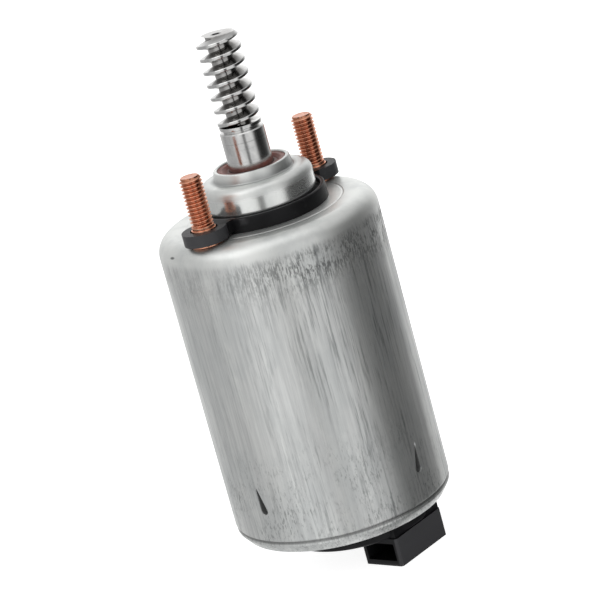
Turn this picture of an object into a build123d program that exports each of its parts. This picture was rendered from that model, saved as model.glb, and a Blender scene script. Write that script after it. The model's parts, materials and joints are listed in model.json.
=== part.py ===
from build123d import *
import os
from math import cos, radians, sin

# A brushed direct-current can motor with a worm cut on its output shaft.
# Frame: +Z is the shaft's free end, and the origin is the centre of the two mounting studs
# on the seating plane, which is the top of the ears of the mounting ring.
# The studs stand at -X and +X, and the connector hangs on the -Y side of the rear cap.
# Units are millimetres.

# --- Driving dimensions: outside ---------------------------------------------------------
ring_height = 4.0          # height of the mounting ring, from the can's face to the seating plane
face_z = -ring_height      # front face of the can
can_r = 30.0
can_wall = 2.0
can_shoulder_r = 5.0       # drawn radius between the front face and the side
groove_z = face_z - 83.3   # bead at the foot of the straight side
bead_depth = 0.55
bead_h = 0.7               # from the straight side down to the bottom of the bead
rim_z = groove_z - 3.5     # lower edge of the rolled rim
rim_r = 28.0
lip_r = 26.2               # inner edge of the rolled rim

drum_r = 15.4              # pilot drum drawn up from the front face
drum_top_z = 6.9
pilot_foot_z = 0.1         # the drum is sized as a register only above the seating plane
pilot_relief = 0.3
drum_shoulder_r = 2.8
collar_base_r = 10.8       # seal collar on top of the drum
collar_mouth_r = 10.3
collar_top_z = 9.7
seal_bore_r = 9.3

stud_spacing = 46.6
stud_r = 3.0
stud_top_z = 14.5
stud_flange_r = 4.4
stud_flange_h = 0.6
stud_collar_r = 3.3        # plain shoulder of the stud inside the ear
stud_collar_top_z = 0.3
stud_chamfer = 0.7

ring_outer_r = 17.7
ring_inner_r = 16.4
ear_r = 6.0
ear_hole_r = 3.7
ear_gap = 0.1              # between a stud's flange and the ear above it
ear_web_width = 9.0

# --- Driving dimensions: output shaft ----------------------------------------------------
journal_r = 6.0
journal_top_z = 19.2
worm_start_z = 20.0
worm_top_z = 45.2
worm_r = 5.9
worm_pitch = 3.55
worm_root_r = 3.1
worm_crest_width = 0.8
worm_base_width = 2.8
worm_phase = 334.9         # angle of the thread's start about the shaft
worm_collar_h = 0.9        # the thread runs out into a thin collar above the undercut
worm_collar_r = 5.75
undercut_r = 4.9
clip_groove_r = 5.5        # groove for the clip above the front bearing
clip_h = 0.9
shaft_flange_r = 7.2       # shoulder below the front bearing
shaft_flange_h = 3.0
core_shaft_r = 5.0
rear_journal_r = 4.0
shaft_end_z = -96.2

# --- Driving dimensions: front bearing and seal ------------------------------------------
bearing_outer_r = 14.0
bearing_width = 8.0
bearing_top_z = 3.8
bearing_bottom_z = bearing_top_z - bearing_width
bearing_mid_z = bearing_top_z - bearing_width / 2
ball_r = 2.35
ball_pitch_r = 10.0
ball_count = 8
raceway_r = ball_r + 0.1
running_gap = 0.05
retainer_inner_r = 11.6
retainer_t = 1.0

# --- Driving dimensions: magnets and armature --------------------------------------------
bore_r = can_r - can_wall
magnet_inner_r = 21.6
magnet_top_z = -13.0
magnet_bottom_z = -58.0
magnet_span = 74.0
pole_count = 4
core_r = 21.1
core_top_z = -18.0
core_bottom_z = -53.0
slot_count = 12
slot_depth_r = 11.5
slot_shoulder_r = 18.6
slot_root_half = 1.0       # half widths of a slot at its bottom and under the tooth tips
slot_top_half = 3.2
insulator_t = 1.0
end_turn_h = 5.0

bar_r = 11.5
bar_base_r = 9.6
bar_count = 24
bar_top_z = -62.5
bar_foot_z = -64.5
bar_bottom_z = -81.5
hook_r = 13.3

# --- Driving dimensions: rear cap, connector and brush gear ------------------------------
cap_r = 25.4
cap_bottom_z = -91.7
cap_top_z = -79.4
cap_floor_z = -90.2
cap_cavity_r = 23.2
boss_r = 11.0
boss_bottom_z = groove_z - 11.0
plate_r = 20.0             # raised plate under the cap, set towards the connector
plate_centre = (1.0, -3.3)
plate_bottom_z = groove_z - 8.0
bush_r = 7.0
bush_top_z = -90.6
bush_bottom_z = -96.0
bush_socket_gap = 0.6      # room under the bush in its socket
spigot_r = bore_r - 0.1    # the cap's fit in the can
cap_seal_r = 0.75          # section of the cap's rubber ring

plug_x = (-8.3, 11.9)      # the connector housing's ends; its mouth is at the first
plug_y = (-23.0, -10.2)
plug_z = (groove_z - 16.0, groove_z - 8.0)
plug_wall = 1.5
plug_depth = 12.3
blade_width = 2.8
blade_t = 0.8
blade_ys = (-19.4, -13.8)
blade_tip_x = -2.2
blade_leg_x = 9.5
blade_top_z = -86.0

card_top_z = -81.0
card_bottom_z = -83.0
card_r = 25.0
card_hole_r = 13.2
post_pcr = 20.5
post_r = 1.8
screw_r = 1.1
screw_head_r = 2.2
screw_head_h = 1.4
screw_length = 8.0
bus_t = 0.6
bus_gap = ((0, 40), (-40, -12))   # the bars stop short of this corner of the card
bus_rings = {"positive": (14.0, 16.0), "negative": (22.6, 24.6)}

brush_width = 5.0
brush_height = 7.0
brush_back_r = 19.6
holder_wall = 0.5
holder_front_r = 13.6
holder_back_r = 25.0
lead_r = 0.55
lead_side = 6.5
lead_over_z = -71.2

choke_y = 16.5
choke_rod_r = 2.0
choke_rod_length = 15.0
choke_wire_r = 0.4
choke_turns = 9
capacitor_x = (-20.5, -14.5)
capacitor_y = (-4.0, 4.0)
capacitor_h = 5.0
choke_z = cap_floor_z + choke_rod_r + 2 * choke_wire_r + 0.05

brush_mid_z = card_top_z + holder_wall + running_gap + brush_height / 2
brush_angles = [0, 90, 180, 270]
spring_turns = 5
spring_wire_r = 0.25
spring_r = 1.8

standing = (Align.CENTER, Align.CENTER, Align.MIN)

os.makedirs("parts", exist_ok=True)


# --- Shared forms --------------------------------------------------------------------------
def finish(piece, node):
    """Label a finished piece and write it as its own file."""
    piece.part.label = node
    export_step(piece.part, f"parts/{node}.step")


def turn(corners, mode=Mode.ADD, centre=(0, 0)):
    """Revolve an outline about an upright axis; a corner is (radius, height, fillet if any)."""
    points = [(corner[0], corner[1]) for corner in corners]
    fillets = [corner[2] if len(corner) > 2 else 0 for corner in corners]
    base = (centre[0], centre[1], 0)
    with BuildSketch(Plane(origin=base, x_dir=(1, 0, 0), z_dir=(0, -1, 0))) as outline:
        with BuildLine():
            FilletPolyline(*points, radius=fillets, close=True)
        make_face()
    revolve(outline.sketch, axis=Axis(base, (0, 0, 1)), mode=mode)


def prism(corners, bottom, top, mode=Mode.ADD, spins=(0,)):
    """Extrude a polygon in the XY plane between two heights, once for each spin about the shaft."""
    with BuildSketch(Plane.XY.offset(bottom)) as outline:
        for spin in spins:
            with Locations(Location((0, 0, 0), (0, 0, spin))):
                Polygon(*corners, align=None)
    extrude(outline.sketch, amount=top - bottom, mode=mode)


def block(x, y, z, mode=Mode.ADD, edge=0.0):
    """A box between two corners, with its four upright edges rounded."""
    middle = ((x[0] + x[1]) / 2, (y[0] + y[1]) / 2)
    with BuildSketch(Plane.XY.offset(z[0])) as outline:
        with Locations(middle):
            if edge:
                RectangleRounded(x[1] - x[0], y[1] - y[0], edge)
            else:
                Rectangle(x[1] - x[0], y[1] - y[0])
    extrude(outline.sketch, amount=z[1] - z[0], mode=mode)


def wire(path_points, bend, thickness_r, mode=Mode.ADD):
    """A round wire along straight runs joined by bends."""
    with BuildLine() as path:
        FilletPolyline(*path_points, radius=bend)
    start = Plane(origin=path.line @ 0, z_dir=path.line % 0)
    with BuildSketch(start) as section:
        Circle(thickness_r)
    sweep(section.sketch, path=path.line, mode=mode)


def polar(radius, angle, height=0.0):
    """A point at a radius and an angle in degrees about the shaft."""
    return (radius * cos(radians(angle)), radius * sin(radians(angle)), height)


# --- Can, studs and mounting ring ----------------------------------------------------------
def make_can():
    """Deep-drawn steel can: face, pilot drum and seal collar in one, rim rolled over the cap."""
    with BuildPart() as can:
        turn([
            (seal_bore_r, collar_top_z, 0.3),
            (collar_mouth_r, collar_top_z, 0.35),
            (collar_base_r, drum_top_z, 0.5),
            (drum_r, drum_top_z, drum_shoulder_r),
            (drum_r, pilot_foot_z),
            (drum_r - pilot_relief, pilot_foot_z),
            (drum_r - pilot_relief, face_z, 0.8),
            (can_r, face_z, can_shoulder_r),
            (can_r, groove_z + bead_h, 0.4),
            (can_r - bead_depth, groove_z, 0.25),
            (can_r - 0.05, groove_z - 0.8, 0.6),
            (rim_r, rim_z, 0.7),
            (lip_r, rim_z),
            (lip_r, rim_z + 0.9),
            (bore_r - 0.5, groove_z - 1.3, 0.8),
            (bore_r, groove_z + 0.6, 0.8),
            (bore_r, face_z - can_wall, 3.0),
            (bearing_outer_r, face_z - can_wall),
            (bearing_outer_r, bearing_top_z + 1.4, 1.2),
            (seal_bore_r, bearing_top_z + 1.4),
        ])
        # Four stakes driven into the side stop the cap's spigot: a tapering dent outside
        # with a rounded foot, and a small nib inside.
        stake_top_z = groove_z + 17.2
        stake_foot_z = groove_z + 8.6
        stake_r = 1.05
        taper_h = stake_top_z - stake_foot_z - stake_r
        stakes = PolarLocations(can_r + 0.1, 4)
        with Locations((0, 0, stake_foot_z + stake_r + taper_h / 2)):
            with stakes:
                Cone(stake_r, 0.12, taper_h, mode=Mode.SUBTRACT)
        with Locations((0, 0, stake_foot_z + stake_r)):
            with stakes:
                Sphere(stake_r, mode=Mode.SUBTRACT)
        nib_r = 1.2
        with Locations((0, 0, cap_top_z + 1.0 + nib_r)):
            with PolarLocations(bore_r + 0.2, 4):
                Sphere(nib_r)
    finish(can, "motor_can")


def make_studs():
    """Two weld studs; each keeps the thin flange that was fused to the can's face."""
    with BuildPart() as studs:
        with Locations((-stud_spacing / 2, 0, face_z), (stud_spacing / 2, 0, face_z)):
            Cylinder(stud_flange_r, stud_flange_h, align=standing)
            Cylinder(stud_collar_r, stud_collar_top_z - face_z, align=standing)
            Cylinder(stud_r, stud_top_z - face_z, align=standing)
        tips = studs.edges().filter_by(GeomType.CIRCLE).group_by(Axis.Z)[-1]
        chamfer(tips, stud_chamfer)
    finish(studs, "mount_studs")


def make_mount_ring():
    """Moulded ring round the pilot drum with a round ear over each stud."""
    ear_bottom_z = face_z + stud_flange_h + ear_gap
    ear_x = stud_spacing / 2
    with BuildPart() as ring:
        with BuildSketch(Plane.XY.offset(ear_bottom_z)):
            Rectangle(2 * ear_x, ear_web_width)
            with Locations((-ear_x, 0), (ear_x, 0)):
                Circle(ear_r)
        extrude(amount=-ear_bottom_z)
        turn([
            (ring_inner_r, face_z),
            (ring_outer_r, face_z, 0.2),
            (ring_outer_r - 0.15, 0, 0.5),
            (ring_inner_r, 0, 0.25),
        ])
        with BuildSketch(Plane.XY.offset(face_z)):
            Circle(ring_inner_r)
            with Locations((-ear_x, 0), (ear_x, 0)):
                Circle(ear_hole_r)
        extrude(amount=ring_height, mode=Mode.SUBTRACT)
    finish(ring, "mount_ring")


def make_ring_seal():
    """Rubber ring that closes the gap between the mounting ring and the drum, with a raised lip."""
    with BuildPart() as seal:
        turn([
            (drum_r - pilot_relief, face_z + 0.9),
            (ring_inner_r, face_z + 0.4),
            (ring_inner_r, -1.5),
            (ring_inner_r - 0.35, -1.2, 0.15),
            (ring_inner_r - 0.6, -2.0),
            (drum_r - pilot_relief, -2.4),
        ])
    finish(seal, "ring_seal")


# --- Shaft seal, front bearing and its preload ---------------------------------------------
def make_shaft_seal():
    """Lip seal in the collar: a steel angle ring, the rubber body round it, and a garter spring."""
    bottom_z = collar_top_z - 3.9
    body_h = 3.5
    case_r = seal_bore_r - 0.4
    case_t = 0.3
    case_inner_r = 7.6
    skirt_r = case_r - case_t - 0.2
    contact_r = journal_r + running_gap
    spring_seat = (7.75, bottom_z + 0.7)
    spring_wire = 0.42
    case_outline = [
        (case_r - case_t, bottom_z + 0.5),
        (case_r, bottom_z + 0.5),
        (case_r, bottom_z + body_h - 0.6),
        (case_inner_r, bottom_z + body_h - 0.6),
        (case_inner_r, bottom_z + body_h - 0.6 - case_t),
        (case_r - case_t, bottom_z + body_h - 0.6 - case_t),
    ]
    with BuildPart() as case:
        turn(case_outline)
    finish(case, "seal_case")
    with BuildPart() as body:
        # Outside wall and dust lip on top, then the sealing lip that hangs below it.
        turn([
            (seal_bore_r, bottom_z),
            (seal_bore_r, bottom_z + body_h, 0.2),
            (8.0, bottom_z + body_h, 0.3),
            (7.1, bottom_z + 2.7),
            (contact_r + 0.2, bottom_z + 3.1, 0.1),
            (contact_r, bottom_z + 2.7, 0.05),
            (6.8, bottom_z + 2.0),
            (contact_r, bottom_z + 0.7, 0.05),
            (7.1, bottom_z + 0.2, 0.3),
            (7.6, bottom_z + 1.6),
            (skirt_r, bottom_z + 2.0),
            (skirt_r, bottom_z),
        ])
        turn(case_outline, mode=Mode.SUBTRACT)
        with BuildSketch(Plane.XZ) as seat:
            with Locations(spring_seat):
                Circle(spring_wire + 0.08)
        revolve(seat.sketch, axis=Axis.Z, mode=Mode.SUBTRACT)
    finish(body, "seal_lip")
    with BuildPart() as garter:
        with BuildSketch(Plane.XZ) as section:
            with Locations((spring_seat[0] + 0.05, spring_seat[1])):
                Circle(spring_wire)
        revolve(section.sketch, axis=Axis.Z)
    finish(garter, "seal_spring")


def make_front_bearing():
    """Deep-groove ball bearing: two rings, a cage and its balls."""
    race_land = 1.8
    rings = (
        ("front_bearing_outer", bearing_outer_r, ball_pitch_r + race_land),
        ("front_bearing_inner", ball_pitch_r - race_land, journal_r),
    )
    for node, outer_r, inner_r in rings:
        with BuildPart() as ring:
            turn([
                (inner_r, bearing_bottom_z, 0.3),
                (outer_r, bearing_bottom_z, 0.4),
                (outer_r, bearing_top_z, 0.4),
                (inner_r, bearing_top_z, 0.3),
            ])
            with BuildSketch(Plane.XZ) as groove:
                with Locations((ball_pitch_r, bearing_mid_z)):
                    Circle(raceway_r)
            revolve(groove.sketch, axis=Axis.Z, mode=Mode.SUBTRACT)
        finish(ring, node)
    with BuildPart() as cage:
        turn([
            (ball_pitch_r - 0.8, bearing_mid_z - 3.0),
            (ball_pitch_r + 0.8, bearing_mid_z - 3.0),
            (ball_pitch_r + 0.8, bearing_mid_z + 3.0),
            (ball_pitch_r - 0.8, bearing_mid_z + 3.0),
        ])
        for index in range(ball_count):
            spin = 360 / ball_count * index
            pocket = Plane(origin=polar(ball_pitch_r, spin, bearing_mid_z), z_dir=polar(1, spin))
            with Locations(pocket):
                Cylinder(ball_r + running_gap, 2 * race_land, mode=Mode.SUBTRACT)
    finish(cage, "bearing_cage")
    with BuildPart() as balls:
        with Locations((0, 0, bearing_mid_z)):
            with PolarLocations(ball_pitch_r, ball_count):
                Sphere(ball_r)
    finish(balls, "bearing_balls")


def make_bearing_fixings():
    """Retainer pressed in behind the bearing, waved preload washer, and the clip on the shaft."""
    retainer_notch_r = 0.8
    with BuildPart() as retainer:
        turn([
            (retainer_inner_r, bearing_bottom_z - retainer_t),
            (bearing_outer_r, bearing_bottom_z - retainer_t),
            (bearing_outer_r, bearing_bottom_z),
            (retainer_inner_r, bearing_bottom_z),
        ])
        with PolarLocations(retainer_inner_r, 6):
            with Locations((0, 0, bearing_bottom_z - retainer_t / 2)):
                Cylinder(retainer_notch_r, retainer_t, mode=Mode.SUBTRACT)
    finish(retainer, "bearing_retainer")
    washer_inner_r = 11.2
    washer_outer_r = 12.6
    washer_t = 0.4
    wave_r = 0.6
    wave_h = 0.35
    waves = 3
    washer_z = bearing_top_z + wave_h
    with BuildPart() as washer:
        turn([
            (washer_inner_r, washer_z),
            (washer_outer_r, washer_z),
            (washer_outer_r, washer_z + washer_t),
            (washer_inner_r, washer_z + washer_t),
        ])
        # Waves reach down to the bearing and up to the can, turn about.
        wave_pcr = (washer_inner_r + washer_outer_r) / 2
        for step in range(waves):
            spin = 360 / waves * step
            for level, lift in ((bearing_top_z, 0), (washer_z + washer_t, 180 / waves)):
                with Locations(Location(polar(wave_pcr, spin + lift, level + wave_h / 2))):
                    Cylinder(wave_r, wave_h)
    finish(washer, "preload_washer")
    clip_outer_r = 7.4
    clip_gap_half = 1.2
    clip_top_z = bearing_top_z + clip_h
    with BuildPart() as clip:
        turn([
            (clip_groove_r, bearing_top_z),
            (clip_outer_r, bearing_top_z),
            (clip_outer_r, clip_top_z),
            (clip_groove_r, clip_top_z),
        ])
        block(
            (clip_groove_r - 0.5, clip_outer_r + 0.6),
            (-clip_gap_half, clip_gap_half),
            (bearing_top_z, clip_top_z),
            mode=Mode.SUBTRACT,
        )
    finish(clip, "shaft_clip")


# --- Magnets and their clips ---------------------------------------------------------------
def make_magnets():
    """Four ferrite arcs bonded to the can, and spring clips that spread between them."""
    magnet_chamfer = 0.6
    for index in range(pole_count):
        middle = 360 / pole_count * (index + 0.5)
        edges = (middle - magnet_span / 2, middle + magnet_span / 2)
        with BuildPart() as magnet:
            with BuildSketch(Plane.XY.offset(magnet_bottom_z)):
                with BuildLine():
                    outer = ThreePointArc(
                        polar(bore_r, edges[0]), polar(bore_r, middle), polar(bore_r, edges[1])
                    )
                    inner = ThreePointArc(
                        polar(magnet_inner_r, edges[0]),
                        polar(magnet_inner_r, middle),
                        polar(magnet_inner_r, edges[1]),
                    )
                    Line(outer @ 0, inner @ 0)
                    Line(outer @ 1, inner @ 1)
                make_face()
            extrude(amount=magnet_top_z - magnet_bottom_z)
            inner_edges = magnet.edges().filter_by(GeomType.CIRCLE).group_by(SortBy.RADIUS)[0]
            chamfer(inner_edges, magnet_chamfer)
        finish(magnet, f"magnet_{index + 1}")
    clip_half = 2.6
    clip_t = 0.6
    clip_foot_r = 22.4
    clip_back_r = bore_r - 0.4
    clip_inset = 6.0
    spins = range(0, 360, 90)
    with BuildPart() as clips:
        outside = [
            (clip_foot_r, -clip_half),
            (clip_back_r, -clip_half),
            (clip_back_r, clip_half),
            (clip_foot_r, clip_half),
        ]
        prism(outside, magnet_bottom_z + clip_inset, magnet_top_z - clip_inset, spins=spins)
        inside = [
            (clip_foot_r - 1.4, clip_t - clip_half),
            (clip_back_r - clip_t, clip_t - clip_half),
            (clip_back_r - clip_t, clip_half - clip_t),
            (clip_foot_r - 1.4, clip_half - clip_t),
        ]
        prism(inside, magnet_bottom_z, magnet_top_z, mode=Mode.SUBTRACT, spins=spins)
    finish(clips, "magnet_clips")


# --- Rotor -----------------------------------------------------------------------------------
def make_shaft():
    """Hardened steel shaft: worm, undercut, seal journal, bearing seat, core seat, rear journal."""
    thread_h = worm_top_z - worm_start_z
    run_in = (0, 0, worm_start_z - worm_pitch)
    with BuildPart() as thread:
        with BuildLine() as path:
            Helix(worm_pitch, thread_h + 2 * worm_pitch, worm_root_r, center=run_in)
        start = Plane(origin=path.line @ 0, x_dir=(1, 0, 0), z_dir=(0, -1, 0))
        with BuildSketch(start) as tooth:
            Polygon(
                (-0.4, -worm_base_width / 2),
                (0, -worm_base_width / 2),
                (worm_r - worm_root_r, -worm_crest_width / 2),
                (worm_r - worm_root_r, worm_crest_width / 2),
                (0, worm_base_width / 2),
                (-0.4, worm_base_width / 2),
                align=None,
            )
        sweep(tooth.sketch, path=path.line, is_frenet=True)
        with Locations((0, 0, (worm_start_z + worm_collar_h / 2 + worm_top_z) / 2)):
            Cylinder(worm_r + 2, thread_h - worm_collar_h / 2, mode=Mode.INTERSECT)
    with BuildPart() as shaft:
        add(thread.part.rotate(Axis.Z, worm_phase))
        turn([
            (0, worm_top_z),
            (worm_root_r, worm_top_z),
            (worm_root_r, worm_start_z + worm_collar_h),
            (worm_collar_r, worm_start_z + worm_collar_h),
            (worm_collar_r, worm_start_z),
            (undercut_r, worm_start_z),
            (undercut_r, journal_top_z),
            (journal_r - 0.3, journal_top_z),
            (journal_r, journal_top_z - 0.3),
            (journal_r, bearing_top_z + clip_h),
            (clip_groove_r, bearing_top_z + clip_h),
            (clip_groove_r, bearing_top_z),
            (journal_r, bearing_top_z),
            (journal_r, bearing_bottom_z),
            (shaft_flange_r, bearing_bottom_z),
            (shaft_flange_r, bearing_bottom_z - shaft_flange_h),
            (core_shaft_r, bearing_bottom_z - shaft_flange_h),
            (core_shaft_r, bar_bottom_z - 1.0),
            (rear_journal_r, bar_bottom_z - 1.0),
            (rear_journal_r, shaft_end_z + 0.5),
            (rear_journal_r - 0.5, shaft_end_z),
            (0, shaft_end_z),
        ])
        # Chamfer on the worm's free end, and the centre hole it was turned on.
        turn([
            (worm_r - 1.0, worm_top_z + 0.1),
            (worm_r + 0.5, worm_top_z + 0.1),
            (worm_r + 0.5, worm_top_z - 1.6),
        ], mode=Mode.SUBTRACT)
        turn([
            (0, worm_top_z + 0.1),
            (1.1, worm_top_z + 0.1),
            (0, worm_top_z - 1.4),
        ], mode=Mode.SUBTRACT)
    finish(shaft, "worm_shaft")


def slot_outline(inset):
    """Half-closed armature slot; inset shrinks it to the outline of the wires inside."""
    return [
        (slot_depth_r + inset, inset - slot_root_half),
        (slot_shoulder_r - inset, inset - slot_top_half),
        (slot_shoulder_r - inset, slot_top_half - inset),
        (slot_depth_r + inset, slot_root_half - inset),
    ]


def make_armature():
    """Laminated core, end insulators, and the winding with its end turns."""
    spins = [360 / slot_count * index for index in range(slot_count)]
    opening_half = 1.1
    opening = [
        (slot_shoulder_r - 0.5, -opening_half),
        (core_r + 1, -opening_half),
        (core_r + 1, opening_half),
        (slot_shoulder_r - 0.5, opening_half),
    ]
    plates = (
        ("armature_core", core_r, core_bottom_z, core_top_z),
        ("front_insulator", core_r - 0.5, core_top_z, core_top_z + insulator_t),
        ("rear_insulator", core_r - 0.5, core_bottom_z - insulator_t, core_bottom_z),
    )
    for node, outer_r, bottom, top in plates:
        with BuildPart() as plate:
            turn([(core_shaft_r, bottom), (outer_r, bottom), (outer_r, top), (core_shaft_r, top)])
            prism(slot_outline(0), bottom, top, mode=Mode.SUBTRACT, spins=spins)
            prism(opening, bottom, top, mode=Mode.SUBTRACT, spins=spins)
        finish(plate, node)
    front_z = core_top_z + insulator_t
    rear_z = core_bottom_z - insulator_t
    with BuildPart() as winding:
        prism(slot_outline(0.3), rear_z - 1, front_z + 1, spins=spins)
        for near, far in ((front_z, front_z + end_turn_h), (rear_z, rear_z - end_turn_h)):
            turn([
                (slot_depth_r - 1.5, near),
                (slot_shoulder_r, near),
                (slot_shoulder_r, far, 1.8),
                (slot_depth_r - 1.5, far, 1.8),
            ])
    finish(winding, "armature_winding")


def make_commutator():
    """Moulded hub with copper bars round it; each bar ends in a hook for the winding wire."""
    with BuildPart() as hub:
        turn([
            (core_shaft_r, bar_top_z + 1.0),
            (bar_base_r, bar_top_z + 1.0, 0.5),
            (bar_base_r, bar_bottom_z - 0.5, 0.5),
            (core_shaft_r, bar_bottom_z - 0.5),
        ])
    finish(hub, "commutator_hub")
    half_gap = 0.3
    with BuildPart() as bars:
        turn([
            (bar_base_r, bar_top_z),
            (hook_r, bar_top_z),
            (hook_r, bar_foot_z),
            (bar_r, bar_foot_z),
            (bar_r, bar_bottom_z),
            (bar_base_r, bar_bottom_z),
        ])
        gap = [(0, -half_gap), (hook_r + 1, -half_gap), (hook_r + 1, half_gap), (0, half_gap)]
        spins = [360 / bar_count * index for index in range(bar_count)]
        prism(gap, bar_bottom_z, bar_top_z, mode=Mode.SUBTRACT, spins=spins)
    finish(bars, "commutator_bars")


# --- Rear cap, its seal and the rear bush -----------------------------------------------------
def terminal_blade(y, mode=Mode.ADD):
    """One blade: it lies along the connector, then turns up into the cap."""
    side = (y - blade_width / 2, y + blade_width / 2)
    blade_z = (plug_z[0] + plug_z[1]) / 2
    flat = (blade_z - blade_t / 2, blade_z + blade_t / 2)
    leg = (blade_leg_x - blade_t / 2, blade_leg_x + blade_t / 2)
    block((blade_tip_x, leg[1]), side, flat, mode)
    block(leg, side, (flat[0], blade_top_z), mode)


def make_end_cap():
    """Moulded rear cap: spigot with seal groove, disc, bush boss, card posts and plug housing."""
    groove_top_z = -82.0
    groove_foot_z = -84.0
    neck = 0.4
    with BuildPart() as cap:
        turn([
            (cap_r, cap_top_z),
            (spigot_r, cap_top_z, 0.3),
            (spigot_r, groove_top_z),
            (bore_r - 2 * cap_seal_r, groove_top_z),
            (bore_r - 2 * cap_seal_r, groove_foot_z),
            (spigot_r, groove_foot_z),
            (spigot_r, groove_z + 0.6),
            (bore_r - 0.6, groove_z - 1.3),
            (lip_r, rim_z + 1.0),
            (lip_r - 0.1, rim_z + 0.9),
            (cap_r + 0.2, rim_z),
            (cap_r, cap_bottom_z, 0.5),
            (boss_r + 0.4, cap_bottom_z),
            (boss_r, boss_bottom_z, 1.2),
            (0, boss_bottom_z),
            (0, bush_bottom_z - bush_socket_gap),
            (bush_r, bush_bottom_z - bush_socket_gap),
            (bush_r, bush_top_z + 0.2),
            (bush_r + 2.6, bush_top_z + 0.2),
            (bush_r + 2.6, cap_floor_z),
            (cap_cavity_r, cap_floor_z, 1.0),
            (cap_cavity_r, groove_z - 1.0),
            (cap_r, groove_z),
        ])
        for angle in range(45, 360, 90):
            with Locations(Location(polar(post_pcr, angle, cap_floor_z - 0.5))):
                Cylinder(post_r, card_bottom_z - cap_floor_z + 0.5, align=standing)
        turn([
            (0, cap_bottom_z + 0.5),
            (0, plate_bottom_z),
            (plate_r, plate_bottom_z, 1.0),
            (plate_r, cap_bottom_z + 0.5),
        ], centre=plate_centre)
        turn([
            (0, bush_bottom_z - bush_socket_gap),
            (bush_r, bush_bottom_z - bush_socket_gap),
            (bush_r, cap_floor_z + 1.0),
            (0, cap_floor_z + 1.0),
        ], mode=Mode.SUBTRACT)
        block(plug_x, plug_y, plug_z, edge=0.8)
        block(
            (plug_x[0] + neck, plug_x[1] - neck),
            (plug_y[0] + neck, plug_y[1] - neck),
            (plug_z[1] - 0.5, cap_bottom_z + 0.5),
        )
        block(
            (plug_x[0] - 1, plug_x[0] + plug_depth),
            (plug_y[0] + plug_wall, plug_y[1] - plug_wall),
            (plug_z[0] + plug_wall, plug_z[1] - plug_wall),
            mode=Mode.SUBTRACT,
        )
        for y in blade_ys:
            terminal_blade(y, mode=Mode.SUBTRACT)
        for angle in range(45, 360, 90):
            with Locations(Location(polar(post_pcr, angle, card_bottom_z))):
                Cylinder(screw_r, 14, mode=Mode.SUBTRACT)
    finish(cap, "end_cap")
    with BuildPart() as seal:
        with BuildSketch(Plane.XZ) as section:
            with Locations((bore_r - cap_seal_r, (groove_top_z + groove_foot_z) / 2)):
                Circle(cap_seal_r)
        revolve(section.sketch, axis=Axis.Z)
    finish(seal, "cap_seal")


def make_rear_bush():
    """Self-aligning sintered bush, and the star washer that holds it in its socket."""
    middle = (bush_top_z + bush_bottom_z) / 2
    bulge = (bush_top_z - bush_bottom_z) / 2
    neck_r = bush_r - 0.7
    bore = rear_journal_r + running_gap / 2
    with BuildPart() as bush:
        with BuildSketch(Plane.XZ) as outline:
            with BuildLine():
                ThreePointArc((neck_r, middle - bulge), (bush_r, middle), (neck_r, middle + bulge))
                Polyline(
                    (neck_r, middle + bulge),
                    (bore, middle + bulge),
                    (bore, middle - bulge),
                    (neck_r, middle - bulge),
                )
            make_face()
        revolve(outline.sketch, axis=Axis.Z)
    finish(bush, "rear_bush")
    star_z = bush_top_z + 0.2
    star_t = 0.4
    star_inner_r = 5.6
    star_outer_r = 9.4
    slit_end_r = 7.8
    slit_half = 0.5
    with BuildPart() as star:
        turn([
            (star_inner_r, star_z),
            (star_outer_r, star_z),
            (star_outer_r, star_z + star_t),
            (star_inner_r, star_z + star_t),
        ])
        slit = [(0, -slit_half), (slit_end_r, -slit_half), (slit_end_r, slit_half), (0, slit_half)]
        prism(slit, star_z, star_z + star_t, mode=Mode.SUBTRACT, spins=range(0, 360, 60))
    finish(star, "bush_retainer")


def make_terminals():
    """Two plug blades moulded into the cap."""
    for node, y in zip(("terminal_positive", "terminal_negative"), blade_ys):
        with BuildPart() as terminal:
            terminal_blade(y)
        finish(terminal, node)


# --- Brush gear -------------------------------------------------------------------------------
def lead_foot(angle):
    """Radial place where a brush lead goes down through the card to its bus bar."""
    ring = bus_rings["positive" if angle % 180 == 0 else "negative"]
    middle_r = (ring[0] + ring[1]) / 2
    return (middle_r ** 2 - lead_side ** 2) ** 0.5


def make_brush_card():
    """Brush card, its four screws, and the two bus bars riveted underneath."""
    with BuildPart() as card:
        turn([
            (card_hole_r, card_bottom_z),
            (card_r, card_bottom_z),
            (card_r, card_top_z),
            (card_hole_r, card_top_z),
        ])
        for angle in range(45, 360, 90):
            with Locations(Location(polar(post_pcr, angle, card_bottom_z + 1))):
                Cylinder(screw_r, 4, mode=Mode.SUBTRACT)
        for angle in brush_angles:
            foot = Vector(lead_foot(angle), lead_side, card_bottom_z + 1).rotate(Axis.Z, angle)
            with Locations(foot):
                Cylinder(lead_r + 0.15, 4, mode=Mode.SUBTRACT)
    finish(card, "brush_card")
    slot_size = (3.0, 0.6, 0.9)
    with BuildPart() as screws:
        for angle in range(45, 360, 90):
            with Locations(Location(polar(post_pcr, angle, card_top_z))):
                Cylinder(screw_head_r, screw_head_h, align=standing)
            with Locations(Location(polar(post_pcr, angle, card_top_z - screw_length))):
                Cylinder(screw_r, screw_length + 0.1, align=standing)
            slot_foot = polar(post_pcr, angle, card_top_z + screw_head_h - slot_size[2] + 0.1)
            with Locations(Location(slot_foot, (0, 0, angle))):
                Box(*slot_size, align=standing, mode=Mode.SUBTRACT)
    finish(screws, "card_screws")
    for name, (inner_r, outer_r) in bus_rings.items():
        with BuildPart() as bar:
            turn([
                (inner_r, card_bottom_z - bus_t),
                (outer_r, card_bottom_z - bus_t),
                (outer_r, card_bottom_z),
                (inner_r, card_bottom_z),
            ])
            block(*bus_gap, (card_bottom_z - 2, card_bottom_z + 1), mode=Mode.SUBTRACT)
        finish(bar, f"bus_bar_{name}")


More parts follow.
